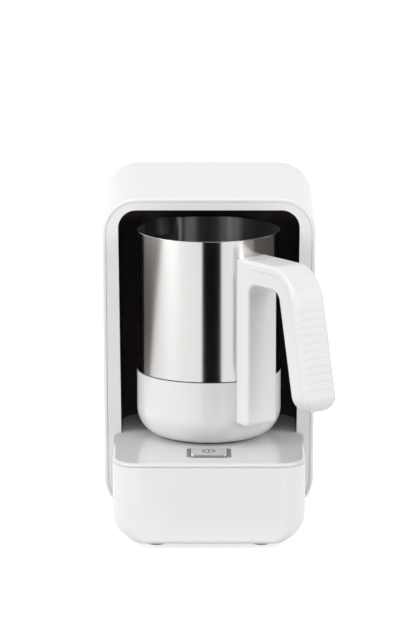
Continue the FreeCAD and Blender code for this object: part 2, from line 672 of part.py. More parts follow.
# Base shell: the white box under the deck, rounded in plan and along its lower sides
def base_shell():
    made = body("base_shell")
    for add, straight, inset in (("AdditiveLoft", "Pad", "0"), ("SubtractiveLoft", "Pocket", "base_wall")):
        slices = [base_section(made, inset, step) for step in range(CORNER_STEPS + 1)]
        feature(made, add, slices[0], Sections=slices[1:])
        last = base_section(made, inset, CORNER_STEPS)
        feature(made, straight, last, "base_reach - base_corner - seam_gap", Reversed=straight == "Pad")
    posts = sketch(made, "XY", "base_wall - seam_gap")
    for across, along in BOARD_POINTS:
        circle(posts, "post_radius", across, along)
    feature(made, "Pad", posts, "board_under - base_wall + seam_gap")
    bores = sketch(made, "XY", "board_under")
    for across, along in BOARD_POINTS:
        circle(bores, "screw_radius + fit_gap", across, along)
    feature(made, "Pocket", bores, "screw_long")
    plugs = sketch(made, "XY", "0")
    for side in (-1, 1):
        circle(plugs, "foot_plug + fit_gap", "%d * front_foot_x" % side, "-front_foot_y")
    feature(made, "Pocket", plugs, "base_wall / 2", Reversed=True)
    slots = sketch(made, "XY", "0")
    for k in range(int(value("slot_count"))):
        box_outline(slots, "slot_length", "slot_width", "(slot_width - slot_flat) / 2", "0",
                    "%d * slot_pitch - slot_first" % k)
    feature(made, "Pocket", slots, "base_wall", Reversed=True)
    return made


# Deck cover: the glossy plate with the dock and the button, which runs back as the niche's floor
def deck_cover():
    made = body("deck_cover")
    side, inside = "base_width / 2", "(niche_width_bottom / 2 - seam_gap)"
    back = "niche_depth - seam_gap"
    drawn = sketch(made, "XY", "deck_under")
    outline(drawn, [
        ("-" + side, "-base_reach", "base_corner"),
        (side, "-base_reach", "base_corner"),
        (side, "-seam_gap", None),
        (inside, "-seam_gap", None),
        (inside, back, "niche_back_corner - seam_gap"),
        ("-" + inside, back, "niche_back_corner - seam_gap"),
        ("-" + inside, "-seam_gap", None),
        ("-" + side, "-seam_gap", None),
    ])
    feature(made, "Pad", drawn, "deck_top - deck_under")
    top, front = value("deck_top") - NEAR, value("-seam_gap") - NEAR
    dress(made, "Fillet", lambda edge: edge.BoundBox.ZMin > top and edge.BoundBox.YMin < front,
          "deck_edge")
    skirt = sketch(made, "XY", "deck_under")
    for inset in ("base_wall + fit_gap", "base_wall + fit_gap + skirt_wall"):
        wide = "(base_width / 2 - (%s))" % inset
        radius = "base_corner - (%s)" % inset
        outline(skirt, [
            ("-" + wide, "%s - base_reach" % inset, radius),
            (wide, "%s - base_reach" % inset, radius),
            (wide, "-(%s)" % inset, None),
            ("-" + wide, "-(%s)" % inset, None),
        ])
    feature(made, "Pad", skirt, "skirt_depth", Reversed=True)
    relief = sketch(made, "XY", "deck_under")
    circle(relief, "dock_flange + seam_gap")
    feature(made, "Pocket", relief, "skirt_depth")
    holes = sketch(made, "XY", "deck_under")
    circle(holes, "dock_radius + fit_gap")
    box_outline(holes, "skirt_width + 2 * fit_gap", "skirt_length + 2 * fit_gap",
                "cap_corner + frame_wall", "0", "-button_y")
    feature(made, "Pocket", holes, "deck_top - deck_under", Reversed=True)
    return made


def turned(label, corners):
    """A piece turned about the jug's axis; corners are (radius, height, rounding)."""
    made = body(label)
    drawn = sketch(made, "XZ")
    outline(drawn, corners)
    feature(made, "Revolution", drawn, ReferenceAxis=(drawn, ["V_Axis"]))
    return made


# Dock plate: the dark disc in the deck, with a low cone that centres the jug
def dock_plate():
    made = turned("dock_plate", [
        ("0", "dock_under", None),
        ("dock_flange", "dock_under", None),
        ("dock_flange", "deck_under", None),
        ("dock_radius", "deck_under", None),
        ("dock_radius", "deck_top", None),
        ("cone_radius", "deck_top", None),
        ("cone_top_radius", "deck_top + cone_high", None),
        ("0", "deck_top + cone_high", None),
    ])
    holes = sketch(made, "XY", "dock_under")
    for track, angle in PINS:
        circle(holes, "pin_radius + fit_gap", *on_track(track, angle))
    feature(made, "Pocket", holes, "deck_top - dock_under + " + PAST, Reversed=True)
    return made


def on_track(track, angle):
    return "%s * cos(%d deg)" % (track, angle), "%s * sin(%d deg)" % (track, angle)


# Contact pins, and the carrier that holds them under the dock
def contact_carrier():
    holes = [("pin_radius + fit_gap", *on_track(track, angle)) for track, angle in PINS]
    return round_plate("contact_carrier", ("dock_radius",), "carrier_under", "dock_under", holes)


def contact_pins():
    made = body("contact_pins")
    made.AllowCompound = True
    drawn = sketch(made, "XY", "carrier_under")
    for track, angle in PINS:
        circle(drawn, "pin_radius", *on_track(track, angle))
    feature(made, "Pad", drawn, "pin_long")
    return made


# Feet: rubber buttons with a plug that goes up into the housing
def foot(label, x, y, wall):
    made = body(label)
    drawn = sketch(made, "XY", "0")
    circle(drawn, "foot_radius", x, y)
    feature(made, "Pad", drawn, "foot_height", Reversed=True)
    low = value("-foot_height") + NEAR
    dress(made, "Fillet", lambda edge: edge.BoundBox.ZMax < low, "foot_height / 4")
    plug = sketch(made, "XY", "0")
    circle(plug, "foot_plug", x, y)
    feature(made, "Pad", plug, "%s / 2 - fit_gap" % wall)
    return made


# Button frame: the dark metal surround, whose skirt goes down through the deck
def button_frame():
    made = body("button_frame")
    skirt = sketch(made, "XY", "frame_skirt_end")
    box_outline(skirt, "skirt_width", "skirt_length", "cap_corner + frame_wall", "0", "-button_y")
    feature(made, "Pad", skirt, "deck_top - frame_skirt_end")
    flange = sketch(made, "XY", "deck_top")
    box_outline(flange, "frame_width", "frame_length", "frame_corner", "0", "-button_y")
    feature(made, "Pad", flange, "frame_stand")
    top = value("deck_top + frame_stand") - NEAR
    dress(made, "Fillet", lambda edge: edge.BoundBox.ZMin > top, "frame_stand / 2")
    opening = sketch(made, "XY", "frame_skirt_end")
    box_outline(opening, "cap_width + 2 * cap_gap", "cap_length + 2 * cap_gap",
                "cap_corner + cap_gap", "0", "-button_y")
    feature(made, "Pocket", opening, "deck_top + frame_stand - frame_skirt_end", Reversed=True)
    return made


# Button cap: the brushed key with its stem
def button_cap():
    made = block("button_cap", "cap_width", "cap_length", "cap_corner", "0", "-button_y",
                 "cap_under", "cap_top")
    top = value("cap_top") - NEAR
    dress(made, "Fillet", lambda edge: edge.BoundBox.ZMin > top, "cap_edge")
    stem = sketch(made, "XY", "cap_under")
    circle(stem, "stem_radius", "0", "-button_y")
    feature(made, "Pad", stem, "stem_long", Reversed=True)
    return made


# Button guide: the cup under the deck in which the stem slides
def button_guide():
    wide = "skirt_width + 2 * fit_gap"
    long = "skirt_length + 2 * fit_gap"
    corner = "cap_corner + frame_wall + fit_gap"
    made = block("button_guide", wide + " + 2 * guide_wall", long + " + 2 * guide_wall",
                 corner + " + guide_wall", "0", "-button_y", "guide_end", "deck_under")
    hollow = sketch(made, "XY", "guide_top")
    box_outline(hollow, wide, long, corner, "0", "-button_y")
    feature(made, "Pocket", hollow, "deck_under - guide_top", Reversed=True)
    bore = sketch(made, "XY", "guide_end")
    circle(bore, "stem_radius + stem_fit", "0", "-button_y")
    feature(made, "Pocket", bore, "guide_floor", Reversed=True)
    return made


# Button spring: an open coil between the guide's floor and the cap
def button_spring():
    made = doc.addObject("Part::Feature", "button_spring")
    wire = value("spring_wire")
    low = value("guide_top + spring_wire + fit_gap / 2")
    high = value("cap_under - spring_wire - fit_gap / 2")
    turns = value("spring_turns")
    radius = value("spring_radius")
    middle = Vector(0, -value("button_y"), low)
    path = Part.makeHelix((high - low) / turns, high - low, radius)
    path.translate(middle)
    start = Part.Wire(Part.makeCircle(wire, middle + Vector(radius, 0, 0), Vector(0, 1, 0)))
    coil = Part.Wire(path.Edges).makePipeShell([start], True, True)
    made.Shape = coil
    made.Label = "button_spring"
    place(made)
    return made


# Push switch: its case on the control board, and the plunger under the stem
def push_switch():
    made = block("push_switch", "switch_width", "switch_width", None, "0", "-button_y",
                 "board_top", "case_top")
    bore = sketch(made, "XY", "case_top")
    circle(bore, "plunger_radius + stem_fit", "0", "-button_y")
    feature(made, "Pocket", bore, "switch_high - switch_floor")
    return made


def switch_plunger():
    return round_plate("switch_plunger", ("plunger_radius", "0", "-button_y"),
                       "case_top - plunger_sunk", "stem_end - fit_gap")


def board(label, width, length, up, low, points):
    """A circuit board with clearance holes for its screws."""
    made = block(label, width, length, "board_corner", "0", up, low, "%s + board_thick" % low)
    holes = sketch(made, "XY", low)
    for across, along in points:
        circle(holes, "screw_radius + fit_gap", across, along)
    feature(made, "Pocket", holes, "board_thick", Reversed=True)
    return made


# Foam sensor: a window in the niche's roof, under its own small board
def sensor_lens():
    made = round_plate("sensor_lens", ("lens_radius", "0", "sensor_y"), "opening_top",
                       "opening_top + liner_wall")
    flange = sketch(made, "XY", "opening_top + liner_wall")
    circle(flange, "lens_flange", "0", "sensor_y")
    feature(made, "Pad", flange, "lens_flange_thick")
    return made


# Steel vessel of the jug: one drawn wall with a step for the cup, and the pressed spout
def jug_steel():
    made = body("jug_steel")
    step = "jug_joint + joint_ring / 2"
    drawn = sketch(made, "XZ")
    outline(drawn, [
        ("0", "vessel_floor", None),
        ("vessel_lower", "vessel_floor", "vessel_corner"),
        ("vessel_lower", step, None),
        ("jug_radius", step, None),
        ("jug_radius", "jug_rim", None),
        ("0", "jug_rim", None),
    ])
    feature(made, "Revolution", drawn, ReferenceAxis=(drawn, ["V_Axis"]))
    spout_loft(made, "AdditiveLoft", "0")
    ledge, out = value("jug_rim - spout_drop"), value("jug_radius")
    dress(made, "Fillet", lambda edge: abs(edge.BoundBox.ZMin - ledge) < NEAR
          and edge.BoundBox.ZLength < NEAR and edge.Curve.Radius < out - 1, "spout_edge")
    inner = sketch(made, "XZ")
    outline(inner, [
        ("0", "vessel_floor + steel_wall", None),
        ("vessel_lower - steel_wall", "vessel_floor + steel_wall", "vessel_corner - steel_wall"),
        ("vessel_lower - steel_wall", step + " + steel_wall", None),
        ("jug_radius - steel_wall", step + " + steel_wall", None),
        ("jug_radius - steel_wall", "jug_rim + " + PAST, None),
        ("0", "jug_rim + " + PAST, None),
    ])
    feature(made, "Groove", inner, ReferenceAxis=(inner, ["V_Axis"]))
    spout_loft(made, "SubtractiveLoft", "steel_wall")
    rim = value("jug_rim") - NEAR
    dress(made, "Fillet", lambda edge: edge.BoundBox.ZMin > rim, "steel_wall * 0.4")
    return made


def spout_loft(made, kind, inset):
    rings = []
    for radius, level in (("spout_radius - spout_taper", "jug_rim - spout_drop + %s" % inset),
                          ("spout_radius", "jug_rim")):
        ring = sketch(made, "XY", level)
        circle(ring, "%s - %s" % (radius, inset), "spout_centre * cos(spout_angle)",
               "spout_centre * sin(spout_angle)")
        rings.append(ring)
    feature(made, kind, rings[0], Sections=rings[1:], Ruled=True)


# Cup of the jug: the white lower shell, open below for the socket plate
def jug_cup():
    top = "jug_joint - joint_ring / 2"
    return turned("jug_cup", [
        ("socket_radius + fit_gap", "jug_foot", None),
        ("jug_radius", "jug_foot", "jug_corner"),
        ("jug_radius", top, None),
        ("cup_inner", top, None),
        ("cup_inner", "jug_foot + cup_wall", "jug_corner - cup_wall"),
        ("socket_radius + fit_gap", "jug_foot + cup_wall", None),
    ])


def joint_seal():
    low, high = "jug_joint - joint_ring / 2", "jug_joint + joint_ring / 2"
    return turned("joint_seal", [
        ("vessel_lower + seal_gap", low, None),
        ("jug_radius - seal_inset", low, None),
        ("jug_radius - seal_inset", high, None),
        ("vessel_lower + seal_gap", high, None),
    ])


# Socket plate: the dark underside of the jug, dished to sit on the dock's cone
def socket_plate():
    made = turned("socket_plate", [
        ("0", "jug_foot + cone_high", None),
        ("cone_top_radius", "jug_foot + cone_high", None),
        ("cone_radius", "jug_foot", None),
        ("socket_radius", "jug_foot", None),
        ("socket_radius", "jug_foot + cup_wall + seam_gap", None),
        ("socket_flange", "jug_foot + cup_wall + seam_gap", None),
        ("socket_flange", "jug_foot + socket_thick", None),
        ("0", "jug_foot + socket_thick", None),
    ])
    grooves = sketch(made, "XY", "jug_foot")
    for track in ("inner_track", "outer_track"):
        circle(grooves, track + " + track_width / 2 + fit_gap")
        circle(grooves, track + " - track_width / 2 - fit_gap")
    feature(made, "Pocket", grooves, "groove_depth", Reversed=True)
    return made


def contact_rings():
    made = body("contact_rings")
    made.AllowCompound = True
    drawn = sketch(made, "XY", "jug_foot + ring_sink")
    for track in ("inner_track", "outer_track"):
        circle(drawn, track + " + track_width / 2")
        circle(drawn, track + " - track_width / 2")
    feature(made, "Pad", drawn, "ring_thick")
    return made


# Heating element: an open ring of tube under the heating plate
def heater_element():
    made = body("heater_element")
    drawn = sketch(made, "XZ")
    level = "vessel_floor - heater_thick - element_tube - element_gap"
    circle(drawn, "element_tube", "element_radius", level)
    ring = feature(made, "Revolution", drawn, ReferenceAxis=(drawn, ["V_Axis"]))
    ring.setExpression("Angle", bound("element_sweep"))
    doc.recompute()
    return made


def handle_blank(label):
    """The whole handle before it is split: strap, bar and grip in one rounded slab."""
    made = body(label, "handle_angle")
    root = "jug_radius - handle_width / 4"
    drawn = sketch(made, "XZ")
    outline(drawn, [
        (root, "strap_low", None),
        ("strap_out", "strap_low", "palm_round / 2"),
        ("strap_out", "bar_under", "palm_round"),
        ("grip_in_top", "bar_under", "palm_round"),
        ("grip_in", "grip_low", "grip_round"),
        ("grip_out", "grip_low", "grip_round"),
        ("bar_end", "handle_top", "shoulder_round"),
        (root, "handle_top", None),
    ])
    feature(made, "Pad", drawn, "handle_width", Midplane=True)
    tip = sketch(made, "YZ", "(strap_out + grip_in_top) / 2")
    for half, low, radius, high in (
            ("handle_width", "grip_low - tip_round", None, "handle_top + 2 * " + PAST),
            ("handle_width / 2", "grip_low - tip_sink", "tip_round", "handle_top + " + PAST)):
        outline(tip, [("-" + half, low, radius), (half, low, radius),
                      (half, high, None), ("-" + half, high, None)])
    feature(made, "Pocket", tip, "grip_out", Reversed=True)
    side = value("handle_width / 2") - NEAR
    dress(made, "Fillet", lambda edge: abs(edge.BoundBox.YMax + edge.BoundBox.YMin) > 2 * side
          and edge.BoundBox.YLength < NEAR, "handle_edge")
    return made


def cover_region(gap, start_round):
    """Corners of the region that belongs to the handle's outer cover."""
    far = "handle_width"
    start = "cover_start - %s" % gap
    under = "handle_top - cover_skin - %s" % gap
    low = "grip_low - " + far
    bend = "bar_end + grip_lean * (cover_skin + %s) - skin_across - %s" % (gap, gap)
    end = "grip_out + grip_lean * %s - skin_across - %s" % (far, gap)
    return [
        (start, under, start_round),
        (bend, under, "shoulder_round - cover_skin - %s" % gap),
        (end, low, None),
        ("grip_out + " + far, low, None),
        ("grip_out + " + far, "handle_top + " + PAST, None),
        (start, "handle_top + " + PAST, None),
    ]


# Handle core: the strap on the jug, the bar and the inner half of the grip
def handle_core():
    made = handle_blank("handle_core")
    split = sketch(made, "XZ")
    outline(split, cover_region("fit_gap", "cover_round"))
    feature(made, "Pocket", split, "handle_width + 2 * " + PAST, Midplane=True)
    wall = sketch(made, "XY", "strap_low - " + PAST)
    circle(wall, "jug_radius + fit_gap")
    feature(made, "Pocket", wall, "handle_top - strap_low + 2 * " + PAST, Reversed=True)
    inside, behind = "jug_radius - handle_width / 4", "jug_radius + 2 * fit_gap + bracket_thick"
    seat = sketch(made, "XZ")
    outline(seat, [
        (inside, "bracket_low - fit_gap", None),
        (behind, "bracket_low - fit_gap", None),
        (behind, "bracket_high + fit_gap", None),
        (inside, "bracket_high + fit_gap", None),
    ])
    feature(made, "Pocket", seat, "bracket_width + 2 * fit_gap", Midplane=True)
    return made


# Handle cover: the outer skin of the bar and grip, with grooves across it
def handle_cover():
    made = handle_blank("handle_cover")
    split = sketch(made, "XZ")
    outline(split, [
        ("0", "0", None), ("grip_out * 2", "0", None),
        ("grip_out * 2", "handle_top * 2", None), ("0", "handle_top * 2", None),
    ])
    outline(split, cover_region("0", "cover_round - fit_gap"))
    feature(made, "Pocket", split, "handle_width + 2 * " + PAST, Midplane=True)
    grooves = sketch(made, "XZ")
    for k in range(int(value("rib_count"))):
        level = "(rib_first - %d * rib_pitch)" % k
        high, low = "(%s + rib_wide / 2)" % level, "(%s - rib_wide / 2)" % level
        face = "bar_end + grip_lean * (handle_top - %s)"
        outline(grooves, [
            (face % high + " - rib_deep", high, None), (face % low + " - rib_deep", low, None),
            (face % low + " + " + PAST, low, None), (face % high + " + " + PAST, high, None),
        ])
    feature(made, "Pocket", grooves, "handle_width + 2 * " + PAST, Midplane=True)
    return made


def handle_bracket():
    made = body("handle_bracket", "handle_angle")
    drawn = sketch(made, "XZ")
    outline(drawn, [
        ("jug_radius + fit_gap", "bracket_low", None),
        ("jug_radius + fit_gap + bracket_thick", "bracket_low", None),
        ("jug_radius + fit_gap + bracket_thick", "bracket_high", None),
        ("jug_radius + fit_gap", "bracket_high", None),
    ])
    feature(made, "Pad", drawn, "bracket_width", Midplane=True)
    return made


def finish(parts):
    """Check every object and write each sub-part to its own file."""
    doc.recompute()
    for made in doc.Objects:
        if "Invalid" in made.State or "Error" in made.State:
            raise RuntimeError("%s is in state %s" % (made.Label, made.State))
    for made in parts:
        if made.Shape.isNull() or not made.Shape.isValid():
            raise RuntimeError("%s has no valid shape" % made.Label)
    os.makedirs("parts", exist_ok=True)
    for made in parts:
        made.Shape.exportStep("parts/%s.step" % made.Label)
        print(made.Label, len(made.Shape.Solids), round(made.Shape.Volume))


def corners_of(width, length, inset, along):
    """The four corners of a board, drawn in by inset; along is the board's middle."""
    return [("%d * (%s / 2 - %s)" % (i, width, inset),
             "%s + %d * (%s / 2 - %s)" % (along, j, length, inset))
            for i in (-1, 1) for j in (-1, 1)]


BOARD_POINTS = corners_of("board_width", "board_length", "post_inset", "-button_y")
POWER_POINTS = corners_of("power_width", "power_length", "post_inset", "power_centre")
BOSSES = [("%d * (arch_width_%s / 2 - arch_wall - boss_inset)" % (side, end), level)
          for side in (-1, 1) for end, level in (("bottom", "boss_low"), ("top", "boss_high"))]
PINS = [("inner_track", 90), ("inner_track", 210), ("outer_track", 330)]

parts = [
    arch_shell(), front_bezel(), niche_liner(), back_cover(), cord_gland(),
    base_shell(), deck_cover(), dock_plate(), contact_carrier(), contact_pins(),
    foot("foot_front_left", "-front_foot_x", "-front_foot_y", "base_wall"),
    foot("foot_front_right", "front_foot_x", "-front_foot_y", "base_wall"),
    foot("foot_back_left", "-back_foot_x", "back_foot_y", "arch_wall"),
    foot("foot_back_right", "back_foot_x", "back_foot_y", "arch_wall"),
    button_frame(), button_cap(), button_guide(), button_spring(), push_switch(), switch_plunger(),
    board("control_board", "board_width", "board_length", "-button_y", "board_under", BOARD_POINTS),
    board("power_board", "power_width", "power_length", "power_centre", "power_high", POWER_POINTS),
    screws("back_screws", "XZ", "screw_head_high - cover_face", BOSSES, "screw_long", -1),
    screws("control_screws", "XY", "board_top", BOARD_POINTS, "board_screw_long"),
    screws("power_screws", "XY", "power_top", POWER_POINTS, "board_screw_long"),
    round_plate("buzzer", ("buzzer_radius", "buzzer_x", "buzzer_y - button_y"), "board_top",
                "board_top + buzzer_high"),
    block("control_chip", "chip_width", "chip_length", None, "-chip_x", "-button_y", "board_top",
          "board_top + chip_high"),
    block("power_relay", "relay_width", "relay_length", None, "-relay_x", "power_centre",
          "power_top", "power_top + relay_high"),
    block("transformer", "transformer_width", "transformer_length", "board_corner",
          "transformer_x", "power_centre - transformer_y", "power_top",
          "power_top + transformer_high"),
    round_plate("capacitor", ("capacitor_radius", "-capacitor_x", "power_centre - capacitor_y"),
                "power_top", "power_top + capacitor_high"),
    block("terminal_block", "terminal_width", "terminal_length", None, "gland_x - terminal_x",
          "power_centre + terminal_y", "power_top", "power_top + terminal_high"),
    sensor_lens(),
    block("sensor_board", "sensor_board_width", "sensor_board_length", "sensor_board_corner",
          "0", "sensor_y", "lens_top", "lens_top + sensor_board_thick"),
    jug_steel(), jug_cup(), joint_seal(), socket_plate(), contact_rings(),
    round_plate("heater_plate", ("heater_radius",), "vessel_floor - heater_thick", "vessel_floor"),
    heater_element(),
    round_plate("thermal_cutout", ("cutout_radius",), "vessel_floor - heater_thick - cutout_high",
                "vessel_floor - heater_thick"),
    handle_core(), handle_cover(), handle_bracket(),
]
finish(parts)
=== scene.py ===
import math

import bmesh
import bpy
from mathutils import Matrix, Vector


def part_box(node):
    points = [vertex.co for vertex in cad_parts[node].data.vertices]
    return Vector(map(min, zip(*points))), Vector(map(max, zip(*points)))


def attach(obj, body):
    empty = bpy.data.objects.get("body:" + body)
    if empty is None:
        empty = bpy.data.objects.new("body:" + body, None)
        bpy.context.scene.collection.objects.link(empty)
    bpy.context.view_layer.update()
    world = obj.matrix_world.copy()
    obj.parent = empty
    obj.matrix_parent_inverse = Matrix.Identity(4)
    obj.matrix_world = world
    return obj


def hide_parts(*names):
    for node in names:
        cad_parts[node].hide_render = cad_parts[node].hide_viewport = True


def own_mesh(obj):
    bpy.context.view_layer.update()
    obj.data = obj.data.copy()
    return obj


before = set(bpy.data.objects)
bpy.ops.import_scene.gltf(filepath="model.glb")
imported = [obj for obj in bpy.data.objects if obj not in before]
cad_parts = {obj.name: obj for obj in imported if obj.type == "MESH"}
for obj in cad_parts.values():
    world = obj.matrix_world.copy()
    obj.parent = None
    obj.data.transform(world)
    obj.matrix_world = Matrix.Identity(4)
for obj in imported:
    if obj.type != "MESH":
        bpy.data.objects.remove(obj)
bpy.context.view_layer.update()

# Camera. Fitted to the photograph by its proportions: three metres in front and about three
# quarters of a metre up, with a long lens, level from side to side and tipped down to the jug.
eye = (-0.0063, -3.0055, 0.7589)
tip_down = math.radians(11.5)
lens = 244.3
sensor = 36.0
sees_to = 30.0

camera = bpy.data.objects.new("camera", bpy.data.cameras.new("camera"))
bpy.context.scene.collection.objects.link(camera)
camera.location = eye
camera.rotation_euler = (math.pi / 2 - tip_down, 0, 0)
camera.data.lens = lens
camera.data.sensor_width = sensor
camera.data.clip_end = sees_to
bpy.context.scene.camera = camera
bpy.context.scene.view_settings.view_transform = "Standard"

# Studio. A white floor and a white room, which the camera and the bright metal see as white
# paper, while the plastic is lit by a soft fill and by three large soft boxes.
fill = 0.56
fill_colour = (1.0, 0.99, 0.98)
paper_glow = 1.0
floor_size = 14.0
floor_white = 0.55
floor_glow = 0.74
soft_boxes = {
    "key_box": {"place": (-1.7, -0.95, 0.8), "size": (0.9, 1.4), "power": 21.0},
    "side_box": {"place": (1.7, -1.0, 0.8), "size": (0.8, 1.3), "power": 17.0},
    "top_box": {"place": (-0.1, -0.7, 1.6), "size": (1.2, 0.9), "power": 6.2},
}
aim = Vector((0, 0, 0.12))


def seen_as_paper(tree):
    """A factor that is 1 for rays from the camera and for those off gloss or through glass."""
    path = tree.nodes.new("ShaderNodeLightPath")
    total = path.outputs["Is Camera Ray"]
    for ray in ("Is Glossy Ray", "Is Transmission Ray"):
        either = tree.nodes.new("ShaderNodeMath")
        either.operation = "MAXIMUM"
        tree.links.new(total, either.inputs[0])
        tree.links.new(path.outputs[ray], either.inputs[1])
        total = either.outputs[0]
    return total


room = bpy.data.worlds.new("room")
bpy.context.scene.world = room
room.use_nodes = True
air = room.node_tree
air.nodes.clear()
soft_fill = air.nodes.new("ShaderNodeBackground")
soft_fill.inputs["Color"].default_value = (*fill_colour, 1)
soft_fill.inputs["Strength"].default_value = fill
paper = air.nodes.new("ShaderNodeBackground")
paper.inputs["Color"].default_value = (1, 1, 1, 1)
paper.inputs["Strength"].default_value = paper_glow
choose = air.nodes.new("ShaderNodeMixShader")
room_out = air.nodes.new("ShaderNodeOutputWorld")
air.links.new(seen_as_paper(air), choose.inputs[0])
air.links.new(soft_fill.outputs[0], choose.inputs[1])
air.links.new(paper.outputs[0], choose.inputs[2])
air.links.new(choose.outputs[0], room_out.inputs[0])

for name, box in soft_boxes.items():
    lamp = bpy.data.objects.new(name, bpy.data.lights.new(name, "AREA"))
    bpy.context.scene.collection.objects.link(lamp)
    lamp.data.shape = "RECTANGLE"
    lamp.data.size, lamp.data.size_y = box["size"]
    lamp.data.energy = box["power"]
    lamp.location = box["place"]
    lamp.rotation_euler = (aim - lamp.location).to_track_quat("-Z", "Y").to_euler()


def card(name, corners, colour, glow=0.0):
    """A flat card of the studio, which isn't part of the object."""
    mesh = bpy.data.meshes.new(name)
    mesh.from_pydata(corners, [], [tuple(range(len(corners)))])
    piece = bpy.data.objects.new(name, mesh)
    bpy.context.scene.collection.objects.link(piece)
    material = bpy.data.materials.new(name)
    material.use_nodes = True
    tree = material.node_tree
    tree.nodes.clear()
    matt = tree.nodes.new("ShaderNodeBsdfDiffuse")
    matt.inputs["Color"].default_value = (*colour, 1)
    last = matt.outputs[0]
    if glow:
        light = tree.nodes.new("ShaderNodeEmission")
        none = tree.nodes.new("ShaderNodeEmission")
        light.inputs["Strength"].default_value = glow
        none.inputs["Strength"].default_value = 0
        choose = tree.nodes.new("ShaderNodeMixShader")
        both = tree.nodes.new("ShaderNodeAddShader")
        tree.links.new(seen_as_paper(tree), choose.inputs[0])
        tree.links.new(none.outputs[0], choose.inputs[1])
        tree.links.new(light.outputs[0], choose.inputs[2])
        tree.links.new(last, both.inputs[0])
        tree.links.new(choose.outputs[0], both.inputs[1])
        last = both.outputs[0]
    out = tree.nodes.new("ShaderNodeOutputMaterial")
    tree.links.new(last, out.inputs[0])
    mesh.materials.append(material)
    return piece


half = floor_size / 2
card("floor", [(-half, -half, 0), (half, -half, 0), (half, half, 0), (-half, half, 0)],
     (floor_white,) * 3, floor_glow)

# Flags. Dark cards stand and lie round the set, where only gloss sees them, and put the bands on
# the steel where the photograph has them: a black one in front, dim ones at both sides of the
# vessel, a dark one over the set, and a strip before and beside each edge of the niche's rim.
dock_low, dock_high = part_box("dock_plate")
jug_x, jug_y = (dock_low.x + dock_high.x) / 2, (dock_low.y + dock_high.y) / 2
off_floor = 0.001
flag_black = (0.006, 0.006, 0.006)
ceiling = {"high": 1.3, "half": 0.8, "colour": (0.02, 0.02, 0.02)}
strip = {"wide": 0.013, "off": 0.002, "deep": 0.008}
# Turns are in degrees about the jug, from the front to the right: those of the two side edges
# at the near end of the mat on the floor, at the foot of the card and at its top.
flags = {
    "front_flag": {"near": 0.16, "far": 0.55, "high": 0.9, "colour": flag_black,
                   "turns": [(-10.0, 18.5)] * 3},
    "left_flag": {"near": 0.45, "far": 0.7, "high": 0.12, "colour": (0.22, 0.20, 0.19),
                  "turns": [(-126.0, -110.0), (-126.0, -97.0), (-126.0, -72.0)]},
    "right_flag": {"near": 0.45, "far": 0.7, "high": 0.9, "colour": (0.15, 0.135, 0.13),
                   "turns": [(73.0, 126.0)] * 3},
    "right_dim_flag": {"near": 0.45, "far": 0.72, "high": 0.9, "colour": (0.40, 0.39, 0.38),
                       "turns": [(54.0, 73.0)] * 3},
}


def flag_card(name, corners, colour):
    """A card that only gloss sees, so it lights and shades nothing."""
    made = card(name, corners, colour)
    made.visible_camera = False
    made.visible_diffuse = False
    made.visible_shadow = False
    made.visible_transmission = False


def round_the_jug(turns, far, high):
    """A point at each of these turns about the jug, that far from it."""
    angles = [math.radians(turn) for turn in turns]
    return [(jug_x + far * math.sin(angle), jug_y - far * math.cos(angle), high)
            for angle in angles]


for name, flag in flags.items():
    near_turns, foot_turns, top_turns = flag["turns"]
    near = round_the_jug(near_turns, flag["near"], off_floor)
    foot = round_the_jug(foot_turns, flag["far"], off_floor)
    top = round_the_jug(top_turns, flag["far"], flag["high"])
    flag_card(name + "_mat", near + foot[::-1], flag["colour"])
    flag_card(name, foot + top[::-1], flag["colour"])
reach = ceiling["half"]
flag_card("ceiling_flag", [(-reach, -reach, ceiling["high"]), (reach, -reach, ceiling["high"]),
                           (reach, reach, ceiling["high"]), (-reach, reach, ceiling["high"])],
          ceiling["colour"])
rim_low, rim_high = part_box("front_bezel")
for name, edge, way in (("left_strip", rim_low.x, 1), ("right_strip", rim_high.x, -1)):
    front = rim_low.y - strip["off"]
    inner = edge + way * strip["wide"]
    back = front + strip["deep"]
    flag_card(name, [(edge, front, rim_low.z), (inner, front, rim_low.z),
                     (inner, front, rim_high.z), (edge, front, rim_high.z)], flag_black)
    flag_card(name + "_side", [(inner, front, rim_low.z), (inner, back, rim_low.z),
                               (inner, back, rim_high.z), (inner, front, rim_high.z)], flag_black)

# Housing. The arch sleeve, the front bezel and the base box are injection moulded in glossy
# white ABS, so the white clouds a little and the skin has the faint wave of the mould.
housing_white = (0.83, 0.828, 0.824)
housing_gloss = 0.2
noise_range = (0.25, 0.75)
colour_range = (0.3, 0.7)
cloud_scale = 26.0
patch_scale = 60.0
patch_gloss = (0.95, 1.07)
soft_detail = 1.0
fine_detail = 3.0


def new_finish(name, colour, roughness, metallic=0.0):
    """A material with its constant values on the shader's own sockets."""
    material = bpy.data.materials.new(name)
    material.use_nodes = True
    shader = material.node_tree.nodes["Principled BSDF"]
    shader.inputs["Base Color"].default_value = (*colour, 1)
    shader.inputs["Roughness"].default_value = roughness
    shader.inputs["Metallic"].default_value = metallic
    return material, material.node_tree, shader


def noise(tree, scale, detail, stretch=(1, 1, 1)):
    """Noise of this many cycles per metre on the piece, times stretch along each axis."""
    place = tree.nodes.new("ShaderNodeTexCoord")
    fit = tree.nodes.new("ShaderNodeMapping")
    fit.inputs["Scale"].default_value = [scale * way for way in stretch]
    made = tree.nodes.new("ShaderNodeTexNoise")
    made.inputs["Scale"].default_value = 1.0
    made.inputs["Detail"].default_value = detail
    tree.links.new(place.outputs["Object"], fit.inputs["Vector"])
    tree.links.new(fit.outputs["Vector"], made.inputs["Vector"])
    return made.outputs["Fac"]


